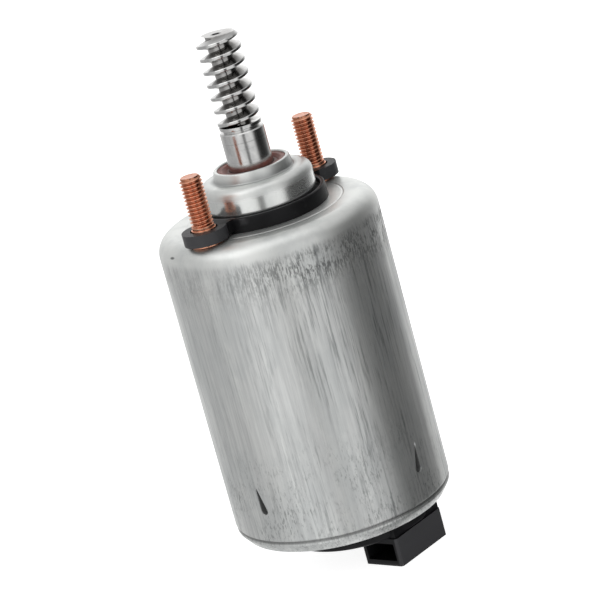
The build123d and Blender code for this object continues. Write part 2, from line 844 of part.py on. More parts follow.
def make_brushes():
    """Four brush sets: brass holder, carbon brush, coil spring behind it, and copper lead."""
    half_width = brush_width / 2
    half_height = brush_height / 2
    hollow = half_width + running_gap
    hollow_z = (brush_mid_z - half_height - running_gap, brush_mid_z + half_height + running_gap)
    lead_x = 17.0
    for index, angle in enumerate(brush_angles):
        with BuildPart() as holder:
            block(
                (holder_front_r, holder_back_r),
                (-hollow - holder_wall, hollow + holder_wall),
                (hollow_z[0] - holder_wall, hollow_z[1] + holder_wall),
            )
            block((0, holder_back_r - holder_wall), (-hollow, hollow), hollow_z, mode=Mode.SUBTRACT)
            block(
                (lead_x - 1.0, lead_x + 3.2),
                (-1.0, 1.0),
                (hollow_z[1] - 1, hollow_z[1] + 2),
                mode=Mode.SUBTRACT,
            )
        holder.part = holder.part.rotate(Axis.Z, angle)
        finish(holder, f"brush_holder_{index + 1}")
        with BuildPart() as brush:
            block(
                (bar_r - 1, brush_back_r),
                (-half_width, half_width),
                (brush_mid_z - half_height, brush_mid_z + half_height),
            )
            with Locations((0, 0, brush_mid_z)):
                Cylinder(bar_r + 0.06, 2 * brush_height, mode=Mode.SUBTRACT)
        brush.part = brush.part.rotate(Axis.Z, angle)
        finish(brush, f"brush_{index + 1}")
        spring_start = brush_back_r + spring_wire_r
        spring_length = holder_back_r - holder_wall - spring_wire_r - spring_start
        with BuildPart() as spring:
            with BuildLine() as coil:
                Helix(
                    spring_length / spring_turns,
                    spring_length,
                    spring_r,
                    center=(spring_start, 0, brush_mid_z),
                    direction=(1, 0, 0),
                )
            with BuildSketch(Plane(origin=coil.line @ 0, z_dir=coil.line % 0)) as section:
                Circle(spring_wire_r)
            sweep(section.sketch, path=coil.line, is_frenet=True)
        spring.part = spring.part.rotate(Axis.Z, angle)
        finish(spring, f"brush_spring_{index + 1}")
        foot_x = lead_foot(angle)
        with BuildPart() as lead:
            wire([
                (lead_x, 0, brush_mid_z + half_height),
                (lead_x, 0, lead_over_z),
                (foot_x, lead_side, lead_over_z),
                (foot_x, lead_side, card_bottom_z),
            ], 1.3, lead_r)
        lead.part = lead.part.rotate(Axis.Z, angle)
        finish(lead, f"brush_lead_{index + 1}")


def make_suppression():
    """Two wound chokes and a capacitor under the card, which keep brush noise off the supply."""
    coil_r = choke_rod_r + choke_wire_r
    coil_length = choke_rod_length - 4.0
    for index, side in enumerate((-1, 1)):
        y = side * choke_y
        with BuildPart() as rod:
            with Locations(Location((0, y, choke_z), (0, 90, 0))):
                Cylinder(choke_rod_r, choke_rod_length)
        finish(rod, f"choke_core_{index + 1}")
        with BuildPart() as coil:
            with BuildLine() as path:
                Helix(
                    coil_length / choke_turns,
                    coil_length,
                    coil_r + 0.02,
                    center=(-coil_length / 2, y, choke_z),
                    direction=(1, 0, 0),
                )
            with BuildSketch(Plane(origin=path.line @ 0, z_dir=path.line % 0)) as section:
                Circle(choke_wire_r)
            sweep(section.sketch, path=path.line, is_frenet=True)
        finish(coil, f"choke_coil_{index + 1}")
    with BuildPart() as capacitor:
        block(capacitor_x, capacitor_y, (cap_floor_z, cap_floor_z + capacitor_h), edge=0.8)
    finish(capacitor, "suppressor_capacitor")


make_can()
make_studs()
make_mount_ring()
make_ring_seal()
make_shaft_seal()
make_front_bearing()
make_bearing_fixings()
make_magnets()
make_shaft()
make_armature()
make_commutator()
make_end_cap()
make_rear_bush()
make_terminals()
make_brush_card()
make_brushes()
make_suppression()
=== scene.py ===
import json
import math
import bmesh
import bpy
import numpy as np
from mathutils import Matrix, Vector


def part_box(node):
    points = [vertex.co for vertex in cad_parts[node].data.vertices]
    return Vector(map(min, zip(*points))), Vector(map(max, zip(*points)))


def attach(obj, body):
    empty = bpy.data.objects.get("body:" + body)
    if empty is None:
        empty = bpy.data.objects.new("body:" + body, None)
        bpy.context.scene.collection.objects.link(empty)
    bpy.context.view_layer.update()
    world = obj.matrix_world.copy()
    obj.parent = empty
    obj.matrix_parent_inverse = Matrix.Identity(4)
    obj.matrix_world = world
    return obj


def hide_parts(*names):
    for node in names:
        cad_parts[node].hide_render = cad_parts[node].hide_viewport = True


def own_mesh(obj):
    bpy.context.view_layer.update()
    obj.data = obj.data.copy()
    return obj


# Looks of the can motor with the worm shaft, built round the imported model.
# Sizes are written in millimetres. Meshes are made in metres, in the row frame.

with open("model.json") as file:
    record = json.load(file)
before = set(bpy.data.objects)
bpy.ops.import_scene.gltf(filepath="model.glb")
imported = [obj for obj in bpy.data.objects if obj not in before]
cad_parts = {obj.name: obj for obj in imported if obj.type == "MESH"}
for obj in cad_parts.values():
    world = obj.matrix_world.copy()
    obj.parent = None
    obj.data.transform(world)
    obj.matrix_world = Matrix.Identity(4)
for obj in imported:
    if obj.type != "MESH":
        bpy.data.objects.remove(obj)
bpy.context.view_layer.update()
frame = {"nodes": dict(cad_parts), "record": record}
nodes = frame["nodes"]

MM = 0.001


def box_mm(node):
    """Lowest and highest corner of a CAD node, in millimetres."""
    low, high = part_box(node)
    return low / MM, high / MM


# --- Sizes taken from the frame ------------------------------------------------------------
can_low, can_high = box_mm("motor_can")
stud_high = box_mm("mount_studs")[1]
shaft_low, shaft_high = box_mm("worm_shaft")

CAN_R = can_high.x
RIM_Z = can_low.z
MOUTH_Z = can_high.z
STUD_TOP_Z = stud_high.z
STUD_FLANGE_R = stud_high.y
STUD_X = stud_high.x - STUD_FLANGE_R
SHAFT_TOP_Z = shaft_high.z
SHAFT_END_Z = shaft_low.z

# --- Sizes shared by shapes and finishes -----------------------------------------------------
FACE_Z = -4.0                  # the can's face; the seating plane on the ears is at 0
GROOVE_Z = FACE_Z - 83.3       # deepest line of the groove above the rolled rim
DRUM_R = 15.4
DRUM_TOP_Z = 6.9
COLLAR_BASE_R = 10.8
WORM_START_Z = 20.0


# --- Mesh tools ------------------------------------------------------------------------------
def rounded(corners, closed=False, chord=0.35):
    """Points of an outline whose corners (r, z, radius) are turned into arcs."""
    count = len(corners)
    points = []
    for index, corner in enumerate(corners):
        here = np.array(corner[:2], float)
        radius = corner[2] if len(corner) > 2 else 0.0
        ends = not closed and index in (0, count - 1)
        if radius <= 0 or ends:
            points.append(here)
            continue
        back = np.array(corners[index - 1][:2], float) - here
        ahead = np.array(corners[(index + 1) % count][:2], float) - here
        back = back / np.linalg.norm(back)
        ahead = ahead / np.linalg.norm(ahead)
        half = math.acos(np.clip(back @ ahead, -1, 1)) / 2
        reach = radius / math.tan(half)
        first = here + back * reach
        last = here + ahead * reach
        middle = (back + ahead) / np.linalg.norm(back + ahead)
        centre = here + middle * (radius / math.sin(half))
        sweep = math.pi - 2 * half
        steps = max(3, int(math.ceil(radius * sweep / chord)))
        arm, last_arm = first - centre, last - centre
        for step in range(steps + 1):
            t = step / steps
            a = math.sin((1 - t) * sweep) / math.sin(sweep)
            b = math.sin(t * sweep) / math.sin(sweep)
            points.append(centre + arm * a + last_arm * b)
    return points


def divided(points, span, inside=None):
    """A closed outline with its runs cut to at most span, all of them or those whose ends are inside."""
    result = []
    for index, point in enumerate(points):
        result.append(point)
        ahead = points[(index + 1) % len(points)]
        if inside and not (inside(point) and inside(ahead)):
            continue
        steps = int(math.ceil(np.linalg.norm(ahead - point) / span))
        result += [point + (ahead - point) * step / steps for step in range(1, steps)]
    return result


def finish_mesh(mesh, name, sharp=34.0):
    """Makes the object, shaded smooth except over edges sharper than the given angle."""
    bmesh.ops.remove_doubles(mesh, verts=mesh.verts, dist=1e-7)
    bmesh.ops.recalc_face_normals(mesh, faces=mesh.faces)
    limit = math.radians(sharp)
    for edge in mesh.edges:
        edge.smooth = len(edge.link_faces) == 2 and edge.calc_face_angle(0) < limit
    for face in mesh.faces:
        face.smooth = True
    data = bpy.data.meshes.new(name)
    mesh.to_mesh(data)
    mesh.free()
    obj = bpy.data.objects.new(name, data)
    bpy.context.scene.collection.objects.link(obj)
    return obj


def lathe(mesh, outline, azimuths, closed=True, centre=(0, 0), shift=None):
    """Turns an outline of (r, z) about a vertical axis. shift(r, z, azimuth) gives a new radius."""
    rings = []
    for r, z in outline:
        if r < 1e-6:
            rings.append([mesh.verts.new((centre[0] * MM, centre[1] * MM, z * MM))])
            continue
        ring = []
        for azimuth in azimuths:
            radius = shift(r, z, azimuth) if shift else r
            a = math.radians(azimuth)
            x = centre[0] + radius * math.cos(a)
            y = centre[1] + radius * math.sin(a)
            ring.append(mesh.verts.new((x * MM, y * MM, z * MM)))
        rings.append(ring)
    pairs = list(zip(rings, rings[1:]))
    if closed:
        pairs.append((rings[-1], rings[0]))
    for low, high in pairs:
        for index in range(len(azimuths)):
            ahead = (index + 1) % len(azimuths)
            corners = []
            for vert in (
                low[index % len(low)],
                low[ahead % len(low)],
                high[ahead % len(high)],
                high[index % len(high)],
            ):
                if vert not in corners:
                    corners.append(vert)
            if len(corners) > 2:
                mesh.faces.new(corners)


def spread(count):
    return [360.0 * index / count for index in range(count)]


def smooth(low, high, value):
    t = min(max((value - low) / (high - low), 0.0), 1.0)
    return t * t * (3 - 2 * t)


# --- Shader tools ----------------------------------------------------------------------------
class Shader:
    """A node material, with short calls for the nodes it is made of. Places are in millimetres."""

    def __init__(self, name):
        self.material = bpy.data.materials.new(name)
        self.material.use_nodes = True
        self.tree = self.material.node_tree
        self.tree.nodes.clear()
        output = self.tree.nodes.new("ShaderNodeOutputMaterial")
        self.bsdf = self.tree.nodes.new("ShaderNodeBsdfPrincipled")
        self.tree.links.new(self.bsdf.outputs[0], output.inputs[0])
        place = self.tree.nodes.new("ShaderNodeTexCoord").outputs["Object"]
        self.place = self.vector("SCALE", place, scale=1 / MM)
        split = self.tree.nodes.new("ShaderNodeSeparateXYZ")
        self.tree.links.new(self.place, split.inputs[0])
        self.x, self.y, self.z = split.outputs

    def put(self, socket, value):
        """Sets a socket to a constant, or links another node's output to it."""
        if isinstance(value, bpy.types.NodeSocket):
            self.tree.links.new(value, socket)
        elif socket.type == "RGBA":
            socket.default_value = (*value, 1.0)
        else:
            socket.default_value = value

    def set(self, **inputs):
        for name, value in inputs.items():
            socket = name.replace("_", " ").title().replace(" Ior ", " IOR ")
            self.put(self.bsdf.inputs[socket], value)

    def vector(self, operation, first, second=None, scale=None):
        node = self.tree.nodes.new("ShaderNodeVectorMath")
        node.operation = operation
        self.put(node.inputs[0], first)
        if second is not None:
            self.put(node.inputs[1], second)
        if scale is not None:
            self.put(node.inputs["Scale"], scale)
        return node.outputs["Value" if operation == "LENGTH" else "Vector"]

    def maths(self, operation, first, second=0.0):
        node = self.tree.nodes.new("ShaderNodeMath")
        node.operation = operation
        self.put(node.inputs[0], first)
        self.put(node.inputs[1], second)
        return node.outputs[0]

    def chain(self, operation, values):
        result = values[0]
        for value in values[1:]:
            result = self.maths(operation, result, value)
        return result

    def times(self, *values):
        return self.chain("MULTIPLY", values)

    def plus(self, *values):
        return self.chain("ADD", values)

    def minus(self, first, second):
        return self.maths("SUBTRACT", first, second)

    def noise(self, per_mm, detail, roughness):
        """Noise with about so many lumps per millimetre along each axis."""
        node = self.tree.nodes.new("ShaderNodeTexNoise")
        self.put(node.inputs["Vector"], self.vector("MULTIPLY", self.place, per_mm))
        node.inputs["Scale"].default_value = 1.0
        node.inputs["Detail"].default_value = detail
        node.inputs["Roughness"].default_value = roughness
        return node.outputs["Fac"]

    def between(self, value, low, high, to_low=0.0, to_high=1.0):
        """Eases from to_low to to_high as the value goes from low to high."""
        node = self.tree.nodes.new("ShaderNodeMapRange")
        node.interpolation_type = "SMOOTHSTEP"
        for name, given in (
            ("Value", value),
            ("From Min", low),
            ("From Max", high),
            ("To Min", to_low),
            ("To Max", to_high),
        ):
            self.put(node.inputs[name], given)
        return node.outputs[0]

    def mix(self, share, first, second):
        node = self.tree.nodes.new("ShaderNodeMix")
        node.data_type = "RGBA"
        factor, low, high = node.inputs[0], node.inputs[6], node.inputs[7]
        for socket, value in ((factor, share), (low, first), (high, second)):
            self.put(socket, value)
        return node.outputs[2]

    def stain(self, colour, mask, strength, tone):
        """The colour with a tone laid over it where the mask is."""
        return self.mix(self.times(mask, strength), colour, tone)

    def radius(self, centre_x=0.0):
        """Distance from the shaft's axis, or from the axes of the two studs at +-centre_x."""
        across = self.minus(self.maths("ABSOLUTE", self.x), centre_x) if centre_x else self.x
        return self.maths("SQRT", self.plus(self.times(across, across), self.times(self.y, self.y)))

    def edges(self, low, high):
        node = self.tree.nodes.new("ShaderNodeNewGeometry")
        return self.between(node.outputs["Pointiness"], low, high)

    def bump(self, height, depth_mm, strength):
        node = self.tree.nodes.new("ShaderNodeBump")
        node.inputs["Strength"].default_value = strength
        node.inputs["Distance"].default_value = depth_mm * MM
        self.put(node.inputs["Height"], height)
        self.put(self.bsdf.inputs["Normal"], node.outputs[0])


# --- Finishes ----------------------------------------------------------------------------------
ZINC_PALE = (0.86, 0.875, 0.855)
ZINC_WORN = (0.62, 0.63, 0.625)
ZINC_CLOUDED = (0.55, 0.575, 0.575)
ZINC_SCORED = (0.20, 0.21, 0.215)
ZINC_PITTED = (0.20, 0.21, 0.21)
ZINC_SCUFFED = (0.12, 0.125, 0.125)
SCUFFED_SIDE = (0.70, -0.72)   # direction in which the scores and scuffs are drawn strongest
NICK = (-27.6, 9.9, -6.5)      # a small dark nick on the can's shoulder
NICK_SHAPE = (1.8, 0.5, 2.4)   # the smaller, the longer the nick is along that axis


def zinc_steel():
    """Drawn sheet under a thin zinc coat: even on the face, streaked and scuffed down the side."""
    s = Shader("zinc_steel")
    radius = s.radius()
    hair = s.noise((1.5, 1.5, 0.065), 3.0, 0.75)
    fine = s.noise((0.9, 0.9, 0.025), 4.0, 0.65)
    broad = s.noise((0.16, 0.16, 0.006), 3.0, 0.55)
    runs = s.noise((0.16, 0.16, 0.022), 4.0, 0.65)
    dashes = s.noise((1.9, 1.9, 0.50), 3.0, 0.7)
    cloud = s.noise((0.07, 0.07, 0.045), 5.0, 0.65)
    patch = s.noise((0.10, 0.10, 0.10), 4.0, 0.7)

    # Where on the can: below the shoulder, near the rim, and towards the side where scores and scuffs are
    # drawn strongest.
    side = s.between(s.z, -7.5, -10.0)
    low = s.between(s.z, -52.0, -80.0)
    towards = s.plus(s.times(s.x, SCUFFED_SIDE[0]), s.times(s.y, SCUFFED_SIDE[1]))
    marked_side = s.between(towards, -24.0, 20.0)

    # Drawing lines along the side.
    lines = s.plus(
        s.times(s.between(fine, 0.34, 0.66), 0.50),
        s.times(s.between(broad, 0.36, 0.64), 0.50),
    )
    streaks = s.times(lines, side)
    scores = s.times(
        s.between(hair, 0.46, 0.66),
        s.between(s.between(runs, 0.40, 0.60), 0.0, 1.0, 0.20, 1.0),
        side,
        s.between(marked_side, 0.0, 1.0, 0.45, 1.0),
    )

    # Pits near the rim, a band of scuffs under the shoulder, and the nick.
    pits = s.times(s.between(dashes, 0.50, 0.64), low, s.between(patch, 0.38, 0.62))
    scuffs = s.times(
        s.between(dashes, 0.42, 0.58),
        s.between(patch, 0.36, 0.52),
        s.between(s.z, -7.8, -11.5),
        s.between(s.z, -24.0, -13.0),
        s.between(marked_side, 0.0, 0.8, 0.25, 1.0),
    )
    nick = s.vector("MULTIPLY", s.vector("SUBTRACT", s.place, NICK), NICK_SHAPE)
    scuffs = s.maths("MAXIMUM", scuffs, s.between(s.vector("LENGTH", nick), 1.1, 0.4))

    # Painted shade in the stakes, in the groove, and in the corner under the seal collar.
    stake_pocket_shade = s.times(
        s.between(radius, CAN_R - 0.05, CAN_R - 0.35),
        s.between(s.z, GROOVE_Z + 1.3, GROOVE_Z + 7.3),
        side,
    )
    # painted shade along the groove above the rolled rim
    groove_shade = s.times(
        s.between(radius, CAN_R - 0.12, CAN_R - 0.45),
        s.between(s.z, GROOVE_Z - 0.7, GROOVE_Z - 0.3),
        s.between(s.z, GROOVE_Z + 1.0, GROOVE_Z + 0.6),
    )
    # painted shade in the concave corner between the seal collar and the drum
    corner = s.times(
        s.between(radius, COLLAR_BASE_R + 1.4, COLLAR_BASE_R + 0.1),
        s.between(s.z, DRUM_TOP_Z + 2.5, DRUM_TOP_Z + 0.1),
        s.between(s.z, DRUM_TOP_Z - 0.9, DRUM_TOP_Z - 0.3),
    )

    colour = s.mix(streaks, ZINC_PALE, ZINC_WORN)
    colour = s.stain(colour, s.between(cloud, 0.40, 0.62), 0.40, ZINC_CLOUDED)
    colour = s.stain(colour, scores, 0.68, ZINC_SCORED)
    colour = s.stain(colour, pits, 0.65, ZINC_PITTED)
    colour = s.stain(colour, scuffs, 0.82, ZINC_SCUFFED)
    # Painted shade: the stake pockets, the groove and the collar corner are darkened here.
    colour = s.stain(colour, stake_pocket_shade, 0.80, (0.13, 0.13, 0.13))
    colour = s.stain(colour, groove_shade, 0.70, (0.14, 0.14, 0.14))
    colour = s.stain(colour, corner, 0.55, (0.22, 0.23, 0.23))

    # Duller on the face, smoother on the machined register round the foot of the drum.
    register = s.times(
        s.between(radius, DRUM_R - 2.4, DRUM_R - 0.8),
        s.between(s.z, 5.0, 3.4),
        s.between(radius, DRUM_R + 0.4, DRUM_R + 0.1),
    )
    wear = s.plus(s.times(streaks, 0.6), s.times(cloud, 0.4))
    rough = s.plus(
        s.between(wear, 0.1, 0.9, 0.32, 0.46),
        s.between(side, 0.0, 1.0, 0.10, 0.0),
        s.times(register, -0.24),
        s.times(s.plus(scuffs, stake_pocket_shade), 0.20),
    )
    s.set(base_color=colour, metallic=0.92, roughness=rough)
    ridges = s.times(s.plus(hair, fine), side)
    hollows = s.times(s.plus(pits, scuffs), 0.8)
    s.bump(s.minus(ridges, hollows), 0.02, 0.6)
    return s.material


def coppered_steel():
    """Copper-plated thread, with painted shade darkening its roots."""
    s = Shader("coppered_steel")
    spots = s.noise((1.1, 1.1, 1.6), 5.0, 0.65)
    fine = s.noise((6.0, 6.0, 6.0), 3.0, 0.6)
    # painted shade in the thread roots
    root_shade = s.between(s.radius(STUD_X), 2.95, 2.5)
    colour = s.mix(s.between(spots, 0.35, 0.7), (0.93, 0.48, 0.32), (0.78, 0.34, 0.21))
    colour = s.stain(colour, root_shade, 0.6, (0.42, 0.15, 0.08))
    s.set(base_color=colour, metallic=1.0, roughness=s.between(spots, 0.3, 0.7, 0.20, 0.36))
    s.bump(fine, 0.02, 0.3)
    return s.material


def black_moulding():
    """Glass-filled plastic: finely grained, with rubbed edges and a painted highlight along the mount
    ring's inner top edge.
    """
    s = Shader("black_moulding")
    grain = s.noise((4.0, 4.0, 4.0), 4.0, 0.6)
    cloud = s.noise((0.12, 0.12, 0.12), 3.0, 0.6)
    rub = s.noise((0.5, 0.5, 0.5), 5.0, 0.7)
    # painted highlight along the inner top edge of the mount ring
    ring_edge_highlight = s.times(s.between(s.radius(), 17.0, 16.6), s.between(s.z, -0.5, -0.1))
    colour = s.mix(s.between(cloud, 0.3, 0.7), (0.0045, 0.0045, 0.0052), (0.0080, 0.0080, 0.0092))
    colour = s.stain(colour, s.edges(0.52, 0.62), 0.5, (0.075, 0.075, 0.08))
    colour = s.stain(colour, s.between(rub, 0.58, 0.72), 0.25, (0.035, 0.035, 0.038))
    colour = s.stain(colour, ring_edge_highlight, 0.7, (0.16, 0.16, 0.17))
    rough = s.between(grain, 0.3, 0.7, 0.34, 0.50)
    s.set(base_color=colour, roughness=rough, specular_ior_level=0.20)
    s.bump(grain, 0.02, 0.30)
    return s.material


def ground_steel():
    """Turned and ground: bright worm with painted shade in its roots, softer journal with faint rings round
    it.
    """
    s = Shader("ground_steel")
    radius = s.radius()
    worm = s.between(s.z, WORM_START_Z - 0.4, WORM_START_Z)
    # painted shade in the worm's thread roots
    root_shade = s.times(s.between(radius, 5.75, 3.6), worm)
    near_end = s.between(s.z, SHAFT_TOP_Z - 3.0, SHAFT_TOP_Z - 2.0)
    # painted shade: the centre hole in the free end is drawn near black
    drill = s.times(s.between(radius, 1.7, 1.2), near_end)
    rings = s.noise((0.05, 0.05, 5.0), 4.0, 0.7)
    scribed = s.between(s.noise((0.02, 0.02, 1.6), 1.0, 0.5), 0.60, 0.66)
    smear = s.noise((0.5, 0.5, 0.25), 4.0, 0.6)
    colour = s.mix(s.between(smear, 0.35, 0.7), (0.72, 0.72, 0.71), (0.58, 0.58, 0.58))
    colour = s.stain(colour, root_shade, 0.55, (0.20, 0.19, 0.18))
    colour = s.stain(colour, drill, 0.9, (0.03, 0.03, 0.03))
    colour = s.stain(colour, scribed, 0.25, (0.30, 0.30, 0.30))
    rough = s.minus(s.between(rings, 0.3, 0.75, 0.18, 0.24), s.times(worm, 0.11))
    s.set(base_color=colour, metallic=1.0, roughness=rough)
    s.bump(rings, 0.006, 0.35)
    return s.material


def brown_rubber():
    """The shaft seal: matt red-brown, with painted shade darkening it towards the shaft."""
    s = Shader("brown_rubber")
    grain = s.noise((2.5, 2.5, 2.5), 5.0, 0.65)
    cloud = s.noise((0.4, 0.4, 0.4), 3.0, 0.6)
    colour = s.mix(s.between(cloud, 0.35, 0.7), (0.25, 0.060, 0.038), (0.17, 0.040, 0.027))
    # painted shade towards the shaft, where the seal meets it
    colour = s.stain(colour, s.between(s.radius(), 7.8, 6.4), 0.7, (0.05, 0.02, 0.015))
    s.set(base_color=colour, roughness=s.between(grain, 0.3, 0.7, 0.36, 0.52))
    s.bump(grain, 0.03, 0.4)
    return s.material


def plain(name, light, dark, metallic, rough, grain=(3.0, 3.0, 3.0), depth=0.01):
    """A finish of two tones with a grain, for parts that sit inside the motor."""
    s = Shader(name)
    cloud = s.noise((0.25, 0.25, 0.25), 4.0, 0.6)
    fine = s.noise(grain, 4.0, 0.65)
    tone = s.plus(s.times(cloud, 0.5), s.times(fine, 0.5))
    worn = tuple(min(1.0, 1.35 * level) for level in light)
    colour = s.mix(s.between(tone, 0.36, 0.64), light, dark)
    colour = s.stain(colour, s.edges(0.53, 0.65), 0.3, worn)
    s.set(base_color=colour, metallic=metallic, roughness=s.between(fine, 0.3, 0.7, *rough))
    s.bump(fine, depth, 0.4)
    return s.material


# Name, lighter tone, darker tone, metallic, range of roughness, and for some the grain and its depth.
PLAIN_FINISHES = (
    ("black_rubber", (0.022, 0.022, 0.022), (0.014, 0.014, 0.014), 0.0, (0.5, 0.7)),
    ("bright_steel", (0.68, 0.68, 0.69), (0.54, 0.54, 0.55), 1.0, (0.18, 0.3)),
    ("sintered_bronze", (0.52, 0.34, 0.17), (0.36, 0.23, 0.12), 1.0, (0.4, 0.6), (6.0, 6.0, 6.0), 0.03),
    ("tinned_brass", (0.72, 0.68, 0.56), (0.60, 0.54, 0.40), 1.0, (0.24, 0.38)),
    ("brown_laminate", (0.25, 0.13, 0.06), (0.17, 0.085, 0.04), 0.0, (0.4, 0.55), (0.6, 4.0, 4.0)),
    ("copper", (0.80, 0.42, 0.27), (0.62, 0.29, 0.17), 1.0, (0.22, 0.36)),
    ("ferrite", (0.055, 0.055, 0.06), (0.035, 0.035, 0.04), 0.0, (0.5, 0.7), (4.0, 4.0, 4.0), 0.02),
    ("enamelled_wire", (0.42, 0.14, 0.05), (0.27, 0.08, 0.03), 0.4, (0.2, 0.35)),
    ("capacitor_resin", (0.05, 0.12, 0.34), (0.035, 0.085, 0.25), 0.0, (0.25, 0.4)),
    ("lamination_steel", (0.32, 0.33, 0.35), (0.20, 0.21, 0.22), 0.9, (0.35, 0.5), (0.2, 0.2, 2.0), 0.03),
    ("carbon", (0.06, 0.055, 0.055), (0.035, 0.033, 0.033), 0.2, (0.45, 0.6)),
)

materials = {
    "zinc_steel": zinc_steel(),
    "coppered_steel": coppered_steel(),
    "black_moulding": black_moulding(),
    "ground_steel": ground_steel(),
    "brown_rubber": brown_rubber(),
}
for finish in PLAIN_FINISHES:
    materials[finish[0]] = plain(*finish)

for part in frame["record"]["subparts"]:
    holder = nodes[part["node"]]
    holder.data.materials.clear()
    holder.data.materials.append(materials[part["material_slot"]])


def dress(obj, slot, body, *stands_for):
    """Finishes a piece, fixes it to its body and puts it in place of CAD nodes."""
    obj.data.materials.append(materials[slot])
    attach(obj, body)
    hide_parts(*stands_for)


# --- Can: drawn steel, with four stakes near the rim --------------------------------------------
CAN_WALL = 2.0
BORE_R = 28.0
SHOULDER_R = 5.0
DRUM_SHOULDER_R = 2.6
REGISTER_FOOT_Z = 0.1          # the drum is full size only above this
REGISTER_RELIEF = 0.3
GROOVE_H = 0.7                 # from its deepest line up to the plain side
GROOVE_DEPTH = 0.55
COLLAR_MOUTH_R = 10.3
SEAL_BORE_R = 9.3
POCKET_R = 14.0                # pocket of the front bearing
POCKET_TOP_Z = 5.2
RING_LINE_R = 21.45            # shallow line pressed round the face
RING_LINE_DEPTH = 0.1
RIM_R = 28.0
LIP_R = 26.2

STAKES = ((0.0, 1), (90.0, -1), (180.0, 1), (270.0, -1))      # azimuth, and which edge is straight
STAKE_FOOT_Z = -78.9
STAKE_TIP_Z = -69.4
STAKE_ROWS = (STAKE_FOOT_Z - 0.3, STAKE_TIP_Z + 0.3)
STAKE_FOOT_R = 1.15
STAKE_DEPTH = 1.5
STAKE_WALL = 0.30
STAKE_SECTOR = 4               # degrees to each side of a stake's middle
STAKE_STEP = 0.18
ROW_H = 0.15
SIDE_ROW_H = 4.0


def stake_depth(z, across):
    """How far the side is pressed in: one edge of the stake is straight, the other slopes to its tip."""
    foot_z = STAKE_FOOT_Z + STAKE_FOOT_R
    share = max(0.0, (z - foot_z) / (STAKE_TIP_Z - foot_z))
    left = -STAKE_FOOT_R
    right = STAKE_FOOT_R - 2 * STAKE_FOOT_R * share
    if z < foot_z:
        drop = foot_z - z
        if drop >= STAKE_FOOT_R:
            return 0.0
        half = math.sqrt(STAKE_FOOT_R ** 2 - drop ** 2)
        left, right = -half, half
    steep = smooth(0, STAKE_WALL, across - left)
    slope = smooth(0, STAKE_WALL + 0.7 * share, right - across)
    fullness = 0.45 + 0.55 * smooth(1.0, 0.25, share)
    return STAKE_DEPTH * fullness * steep * slope * smooth(0, 0.35, z - STAKE_FOOT_Z)


def can_shift(r, z, azimuth):
    """Radius of the can's side, less wherever a stake is pressed in."""
    if r < CAN_R - 0.5 or not STAKE_FOOT_Z < z < STAKE_TIP_Z:
        return r
    for middle, hand in STAKES:
        turn = (azimuth - middle + 180) % 360 - 180
        if abs(turn) < STAKE_SECTOR:
            return r - stake_depth(z, hand * math.radians(turn) * CAN_R)
    return r


def make_can():
    outline = rounded([
        (SEAL_BORE_R, MOUTH_Z, 0.3),
        (COLLAR_MOUTH_R, MOUTH_Z, 0.35),
        (COLLAR_BASE_R, DRUM_TOP_Z, 0.5),
        (DRUM_R, DRUM_TOP_Z, DRUM_SHOULDER_R),
        (DRUM_R, REGISTER_FOOT_Z),
        (DRUM_R - REGISTER_RELIEF, REGISTER_FOOT_Z),
        (DRUM_R - REGISTER_RELIEF, FACE_Z, 0.8),
        (RING_LINE_R - 0.35, FACE_Z, 0.2),
        (RING_LINE_R - 0.15, FACE_Z - RING_LINE_DEPTH, 0.2),
        (RING_LINE_R + 0.15, FACE_Z - RING_LINE_DEPTH, 0.2),
        (RING_LINE_R + 0.35, FACE_Z, 0.2),
        (CAN_R, FACE_Z, SHOULDER_R),
        (CAN_R, STAKE_ROWS[1]),
        (CAN_R, STAKE_ROWS[0]),
        (CAN_R, GROOVE_Z + GROOVE_H, 0.4),
        (CAN_R - GROOVE_DEPTH, GROOVE_Z, 0.25),
        (CAN_R - 0.05, GROOVE_Z - 0.8, 0.6),
        (RIM_R, RIM_Z, 0.7),
        (LIP_R, RIM_Z),
        (LIP_R, RIM_Z + 0.9),
        (BORE_R - 0.5, GROOVE_Z - 1.3, 0.8),
        (BORE_R, GROOVE_Z + 0.6, 0.8),
        (BORE_R, FACE_Z - CAN_WALL, 3.0),
        (POCKET_R, FACE_Z - CAN_WALL),
        (POCKET_R, POCKET_TOP_Z, 1.2),
        (SEAL_BORE_R, POCKET_TOP_Z),
    ], closed=True)
    outline = divided(outline, SIDE_ROW_H)
    outline = divided(
        outline, ROW_H, inside=lambda p: p[0] == CAN_R and STAKE_ROWS[0] <= p[1] <= STAKE_ROWS[1]
    )
    azimuths = set(spread(180))
    for middle, _ in STAKES:
        azimuths.update(round((middle + STAKE_STEP * step) % 360, 4) for step in range(-16, 17))
    mesh = bmesh.new()
    lathe(mesh, outline, sorted(azimuths), shift=can_shift)
    can = finish_mesh(mesh, "can_shell", sharp=30)
    dress(can, "zinc_steel", "housing", "motor_can")


make_can()


# --- Studs: weld flange, plain collar, M6 thread, chamfered end -----------------------------------
STUD_R = 3.0
STUD_FLANGE_H = 0.6
STUD_COLLAR_R = 3.3
STUD_COLLAR_TOP_Z = 0.3
THREAD_PITCH = 1.0
THREAD_DEPTH = 0.60
THREAD_CREST = 0.12            # share of the pitch that is flat on the crest
THREAD_FLANK = 0.70            # share of the pitch taken by the two flanks
THREAD_ROWS = 18
THREAD_LOW = 0.9
THREAD_HIGH = STUD_TOP_Z - 0.35
STUD_TIP_R = 2.35


def stud_shift(r, z, azimuth):
    """Radius of a 60 degree thread, run out smoothly at its foot and cut by the end's chamfer."""
    if abs(r - STUD_R) > 0.01 or not THREAD_LOW <= z <= THREAD_HIGH:
        return r
    turn = (z / THREAD_PITCH - azimuth / 360.0) % 1.0
    valley = min(1.0, max(0.0, (1 - abs(2 * turn - 1) - THREAD_CREST) / THREAD_FLANK))
    cut = THREAD_DEPTH * valley * smooth(THREAD_LOW, THREAD_LOW + 0.5, z)
    chamfer = STUD_TIP_R + (STUD_TOP_Z - z) * 0.9
    return min(STUD_R - cut, chamfer)


